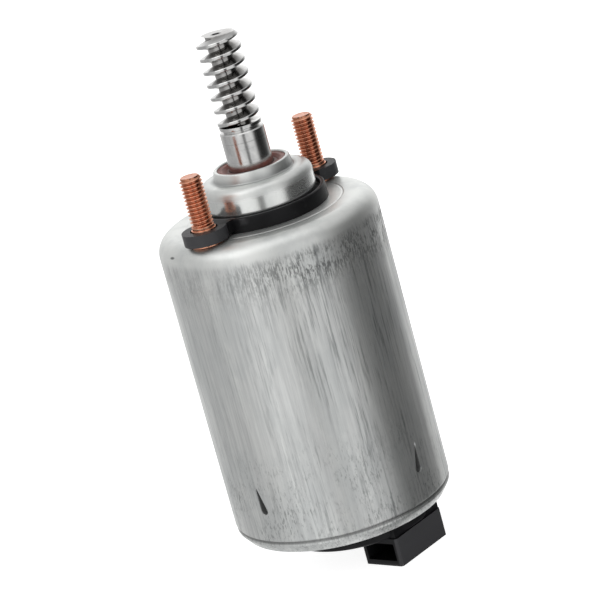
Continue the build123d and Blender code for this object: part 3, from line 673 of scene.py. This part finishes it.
def make_studs():
    mesh = bmesh.new()
    steps = int((THREAD_HIGH - THREAD_LOW) / THREAD_PITCH * THREAD_ROWS)
    rise = (THREAD_HIGH - THREAD_LOW) / steps
    flange_top_z = FACE_Z + STUD_FLANGE_H
    dish = 0.05
    outline = rounded([
        (0.0, FACE_Z),
        (STUD_FLANGE_R, FACE_Z),
        (STUD_FLANGE_R, flange_top_z, 0.15),
        (STUD_COLLAR_R, flange_top_z),
        (STUD_COLLAR_R, STUD_COLLAR_TOP_Z, 0.1),
        (STUD_R, STUD_COLLAR_TOP_Z),
        (STUD_R, THREAD_LOW - 0.01),
    ], chord=0.08)
    outline += [(STUD_R, THREAD_LOW + rise * step) for step in range(steps + 1)]
    outline += [
        (STUD_TIP_R, STUD_TOP_Z),
        (STUD_TIP_R - 0.5, STUD_TOP_Z - dish),
        (0.0, STUD_TOP_Z - dish),
    ]
    for side in (-1, 1):
        lathe(mesh, outline, spread(72), closed=False, centre=(side * STUD_X, 0), shift=stud_shift)
    studs = finish_mesh(mesh, "threaded_studs", sharp=42)
    dress(studs, "coppered_steel", "housing", "mount_studs")


make_studs()


# --- Shaft: worm, undercut, journal, seats ----------------------------------------------------------
WORM_PITCH = 3.55
WORM_R = 5.9
WORM_ROOT_R = 3.1
WORM_CREST = 0.8
WORM_BASE = 2.8
WORM_EASE = 0.12               # how far the crest's edges are rounded
WORM_PHASE = 334.9             # angle of the thread's start about the shaft
WORM_COLUMNS = 120
WORM_TURNS = 11
WORM_CHAMFER_H = 1.05
WORM_COLLAR_R = 5.75
WORM_COLLAR_TOP_Z = WORM_START_Z + 0.9
WORM_FOOT_Z = WORM_START_Z + 0.45       # the thread ends inside its collar
FLANK_STEPS = 6

JOURNAL_R = 6.0
JOURNAL_TOP_Z = 19.2
JOURNAL_CHAMFER = 0.3
UNDERCUT_R = 4.9
CLIP_GROOVE_R = 5.5
CLIP_GROOVE = (3.8, 4.7)
BEARING_FOOT_Z = -4.2
FLANGE_R = 7.2
FLANGE_FOOT_Z = -7.2
CORE_R = 5.0
REAR_JOURNAL_R = 4.0
REAR_SHOULDER_Z = -82.5
END_CHAMFER = 0.5
CENTRE_DRILL_R = 1.1
CENTRE_DRILL_DEPTH = 1.4


def worm_profile():
    """Rows of one turn: offset from the crest's middle, and radius."""
    half_base = WORM_BASE / 2
    half_crest = WORM_CREST / 2
    flank = [(-half_base, WORM_ROOT_R)]
    for step in range(1, FLANK_STEPS):
        t = step / FLANK_STEPS
        offset = -half_base + (half_base - half_crest) * t
        flank.append((offset, WORM_ROOT_R + (WORM_R - WORM_ROOT_R) * t))
    flank.append((-half_crest - 0.04, WORM_R - WORM_EASE))
    flank.append((-half_crest + WORM_EASE, WORM_R))
    mirrored = [(-offset, radius) for offset, radius in reversed(flank)]
    return [(-WORM_PITCH / 2, WORM_ROOT_R)] + flank + [(0.0, WORM_R)] + mirrored


def worm_line(azimuth):
    """The worm's skin along its length, at one azimuth from the thread's start."""
    a = math.radians(azimuth + WORM_PHASE)
    line = []
    for turn in range(WORM_TURNS):
        crest_z = WORM_START_Z + WORM_PITCH * (turn - 2 + azimuth / 360.0)
        for offset, radius in worm_profile():
            z = crest_z + offset
            past = max(0.0, z - (SHAFT_TOP_Z - WORM_CHAMFER_H))
            r = min(radius, WORM_R - past / WORM_CHAMFER_H)
            line.append((r * math.cos(a) * MM, r * math.sin(a) * MM, z * MM))
    return line


def make_worm():
    """The thread as a helical skin, cut flat at both ends and closed."""
    mesh = bmesh.new()
    lines = [worm_line(360.0 * column / WORM_COLUMNS) for column in range(WORM_COLUMNS + 1)]
    verts = [[mesh.verts.new(point) for point in line] for line in lines]
    for near, far in zip(verts, verts[1:]):
        for row in range(len(near) - 1):
            mesh.faces.new((near[row], far[row], far[row + 1], near[row + 1]))
    bmesh.ops.remove_doubles(mesh, verts=mesh.verts, dist=1e-7)
    for height, up in ((SHAFT_TOP_Z * MM, 1), (WORM_FOOT_Z * MM, -1)):
        bmesh.ops.bisect_plane(
            mesh,
            geom=mesh.verts[:] + mesh.edges[:] + mesh.faces[:],
            plane_co=(0, 0, height),
            plane_no=(0, 0, up),
            clear_outer=True,
        )
        border = [
            edge for edge in mesh.edges
            if len(edge.link_faces) == 1 and all(abs(v.co.z - height) < 1e-7 for v in edge.verts)
        ]
        bmesh.ops.triangle_fill(mesh, edges=border, use_beauty=True)
    return finish_mesh(mesh, "worm_thread", sharp=30)


def make_turned_shaft():
    outline = rounded([
        (0.0, WORM_COLLAR_TOP_Z),
        (WORM_COLLAR_R, WORM_COLLAR_TOP_Z, 0.12),
        (WORM_COLLAR_R, WORM_START_Z, 0.12),
        (UNDERCUT_R, WORM_START_Z),
        (UNDERCUT_R, JOURNAL_TOP_Z),
        (JOURNAL_R - JOURNAL_CHAMFER, JOURNAL_TOP_Z),
        (JOURNAL_R, JOURNAL_TOP_Z - JOURNAL_CHAMFER),
        (JOURNAL_R, CLIP_GROOVE[1]),
        (CLIP_GROOVE_R, CLIP_GROOVE[1]),
        (CLIP_GROOVE_R, CLIP_GROOVE[0]),
        (JOURNAL_R, CLIP_GROOVE[0]),
        (JOURNAL_R, BEARING_FOOT_Z),
        (FLANGE_R, BEARING_FOOT_Z),
        (FLANGE_R, FLANGE_FOOT_Z),
        (CORE_R, FLANGE_FOOT_Z),
        (CORE_R, REAR_SHOULDER_Z),
        (REAR_JOURNAL_R, REAR_SHOULDER_Z),
        (REAR_JOURNAL_R, SHAFT_END_Z + END_CHAMFER),
        (REAR_JOURNAL_R - END_CHAMFER, SHAFT_END_Z),
        (0.0, SHAFT_END_Z),
    ], chord=0.05)
    mesh = bmesh.new()
    lathe(mesh, outline, spread(120), closed=False)
    return finish_mesh(mesh, "shaft", sharp=30)


def make_centre_drill():
    """The tool that is taken out of the worm's free end."""
    mesh = bmesh.new()
    outline = [
        (0.0, SHAFT_TOP_Z + 0.5),
        (CENTRE_DRILL_R + 0.4, SHAFT_TOP_Z + 0.5),
        (CENTRE_DRILL_R, SHAFT_TOP_Z),
        (0.0, SHAFT_TOP_Z - CENTRE_DRILL_DEPTH),
    ]
    lathe(mesh, outline, spread(48), closed=False)
    return finish_mesh(mesh, "centre_drill")


def make_shaft():
    """Worm and turned shaft in one, with a centre hole in the free end."""
    worm = make_worm()
    shaft = make_turned_shaft()
    drill = make_centre_drill()
    for other, operation in ((worm, "UNION"), (drill, "DIFFERENCE")):
        change = shaft.modifiers.new(other.name, "BOOLEAN")
        change.operation = operation
        change.solver = "EXACT"
        change.object = other
    graph = bpy.context.evaluated_depsgraph_get()
    joined = bmesh.new()
    joined.from_mesh(bpy.data.meshes.new_from_object(shaft.evaluated_get(graph)))
    for other in (shaft, worm, drill):
        bpy.data.objects.remove(other)
    whole = finish_mesh(joined, "worm_shaft_turned", sharp=26)
    dress(whole, "ground_steel", "rotor", "worm_shaft")


make_shaft()


# --- Brush springs: wound as in the model -----------------------------------------------------------
BRUSH_AZIMUTHS = (0, 90, 180, 270)


def make_spring(index):
    node = nodes[f"brush_spring_{index}"]
    mesh = bmesh.new()
    mesh.from_mesh(node.data)
    mesh.transform(node.matrix_world)
    spring = finish_mesh(mesh, f"spring_coil_{index}", sharp=50)
    dress(spring, "bright_steel", "housing", f"brush_spring_{index}")
    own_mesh(spring)


for number, azimuth in enumerate(BRUSH_AZIMUTHS, 1):
    make_spring(number)


# --- Stage, light and camera --------------------------------------------------------------------
FLOOR_Z = box_mm("end_cap")[0].z
FLOOR_SIDE = 6000.0


def make_floor():
    """Pale floor with a glow of its own, so that shadows on it stay soft. Metal doesn't mirror it."""
    mesh = bmesh.new()
    half = FLOOR_SIDE / 2
    signs = ((-1, -1), (1, -1), (1, 1), (-1, 1))
    mesh.faces.new([mesh.verts.new((x * half * MM, y * half * MM, FLOOR_Z * MM)) for x, y in signs])
    floor = finish_mesh(mesh, "floor")
    material = bpy.data.materials.new("pale_floor")
    material.use_nodes = True
    bsdf = material.node_tree.nodes["Principled BSDF"]
    bsdf.inputs["Base Color"].default_value = (0.9, 0.9, 0.9, 1)
    bsdf.inputs["Roughness"].default_value = 0.9
    bsdf.inputs["Specular IOR Level"].default_value = 0.0
    bsdf.inputs["Emission Color"].default_value = (1, 1, 1, 1)
    bsdf.inputs["Emission Strength"].default_value = 0.85
    floor.data.materials.append(material)
    floor.visible_glossy = False


make_floor()


VIEW_HEADING = 44.1            # the way the camera looks, about +Z from +X
VIEW_DROP = 16.80              # how far it looks down
VIEW_ROLL = 15.29              # how far it is tilted about its own line of sight
CAMERA_AIM_Z = GROOVE_Z
CAMERA_OFFSET = (11.49, 53.21, 818.09)      # from the camera to that height on the axis: right, down, ahead


def make_camera():
    heading, drop, roll = (math.radians(a) for a in (VIEW_HEADING, VIEW_DROP, VIEW_ROLL))
    up = Vector((0, 0, 1))
    flat = Vector((math.cos(heading), math.sin(heading), 0))
    forward = math.cos(drop) * flat - math.sin(drop) * up
    level_down = -(math.sin(drop) * flat + math.cos(drop) * up)
    level_right = Vector((math.sin(heading), -math.cos(heading), 0))
    right = math.cos(roll) * level_right + math.sin(roll) * level_down
    down = -math.sin(roll) * level_right + math.cos(roll) * level_down
    reach = CAMERA_OFFSET[0] * right + CAMERA_OFFSET[1] * down + CAMERA_OFFSET[2] * forward
    place = (Vector((0, 0, CAMERA_AIM_Z)) - reach) * MM
    data = bpy.data.cameras.new("camera")
    data.lens = 180
    data.sensor_width = 36
    data.clip_start = 0.01
    data.clip_end = 50
    camera = bpy.data.objects.new("camera", data)
    columns = Matrix((right, -down, -forward)).transposed()
    camera.matrix_world = Matrix.Translation(place) @ columns.to_4x4()
    bpy.context.scene.collection.objects.link(camera)
    bpy.context.scene.camera = camera


make_camera()


# The studio as the metal shows it: how bright it is at each bearing, in degrees to the camera's right.
STUDIO = (
    (-180, 1.25), (-165, 1.00), (-150, 0.68), (-125, 0.50), (-75, 0.50), (-55, 0.70),
    (-40, 0.92), (-22, 0.90), (-9, 0.78), (-4, 0.14), (4, 0.14), (9, 0.82), (25, 0.85),
    (42, 0.85), (48, 0.60), (56, 0.06), (75, 0.02), (100, 0.04), (116, 0.12),
    (131, 0.36), (150, 1.00), (165, 1.30), (180, 1.30),
)
OVERHEAD = 0.60
CEILING_STARTS = (0.35, 0.75)  # height of a direction, as its sine, over which wall turns to ceiling


def make_world():
    """A soft studio: pale walls with a dark gap to the camera's right, and a bright ceiling."""
    world = bpy.data.worlds.new("studio")
    world.use_nodes = True
    tree = world.node_tree
    tree.nodes.clear()
    output = tree.nodes.new("ShaderNodeOutputWorld")
    back = tree.nodes.new("ShaderNodeBackground")
    tree.links.new(back.outputs[0], output.inputs[0])
    where = tree.nodes.new("ShaderNodeTexCoord")
    turn = tree.nodes.new("ShaderNodeVectorRotate")
    turn.rotation_type = "Z_AXIS"
    turn.inputs["Angle"].default_value = math.radians(180 - VIEW_HEADING)
    tree.links.new(where.outputs["Generated"], turn.inputs["Vector"])
    split = tree.nodes.new("ShaderNodeSeparateXYZ")
    tree.links.new(turn.outputs[0], split.inputs[0])
    bearing = tree.nodes.new("ShaderNodeMath")
    bearing.operation = "ARCTAN2"
    tree.links.new(split.outputs["Y"], bearing.inputs[0])
    tree.links.new(split.outputs["X"], bearing.inputs[1])
    share = tree.nodes.new("ShaderNodeMapRange")
    tree.links.new(bearing.outputs[0], share.inputs["Value"])
    share.inputs["From Min"].default_value = -math.pi
    share.inputs["From Max"].default_value = math.pi
    ramp = tree.nodes.new("ShaderNodeValToRGB")
    tree.links.new(share.outputs[0], ramp.inputs["Fac"])
    stops = ramp.color_ramp.elements
    for degrees, level in STUDIO[1:-1]:
        stops.new((degrees + 180) / 360).color = (level, level, level, 1)
    for stop, level in ((stops[0], STUDIO[0][1]), (stops[len(stops) - 1], STUDIO[-1][1])):
        stop.color = (level, level, level, 1)
    height = tree.nodes.new("ShaderNodeMapRange")
    height.interpolation_type = "SMOOTHSTEP"
    tree.links.new(split.outputs["Z"], height.inputs["Value"])
    height.inputs["From Min"].default_value = CEILING_STARTS[0]
    height.inputs["From Max"].default_value = CEILING_STARTS[1]
    blend = tree.nodes.new("ShaderNodeMix")
    blend.data_type = "RGBA"
    tree.links.new(height.outputs[0], blend.inputs[0])
    tree.links.new(ramp.outputs["Color"], blend.inputs[6])
    blend.inputs[7].default_value = (OVERHEAD, OVERHEAD, OVERHEAD, 1)
    tree.links.new(blend.outputs[2], back.inputs["Color"])
    bpy.context.scene.world = world


LAMP_AIM_Z = -30.0


def make_lamp(name, azimuth, elevation, distance, size, power):
    """A square lamp turned to the object; its azimuth counts from the camera's. Metres and watts."""
    data = bpy.data.lights.new(name, "AREA")
    data.size = size
    data.energy = power
    lamp = bpy.data.objects.new(name, data)
    a, e = math.radians(VIEW_HEADING + 180 + azimuth), math.radians(elevation)
    back = Vector((math.cos(a) * math.cos(e), math.sin(a) * math.cos(e), math.sin(e)))
    lamp.location = Vector((0, 0, LAMP_AIM_Z * MM)) + back * distance
    lamp.rotation_euler = (-back).to_track_quat("-Z", "Y").to_euler()
    bpy.context.scene.collection.objects.link(lamp)


make_world()
make_lamp("key", -55, 50, 0.9, 0.5, 0.8)
make_lamp("top", 20, 80, 0.9, 0.6, 0.6)
bpy.context.scene.view_settings.view_transform = "Standard"
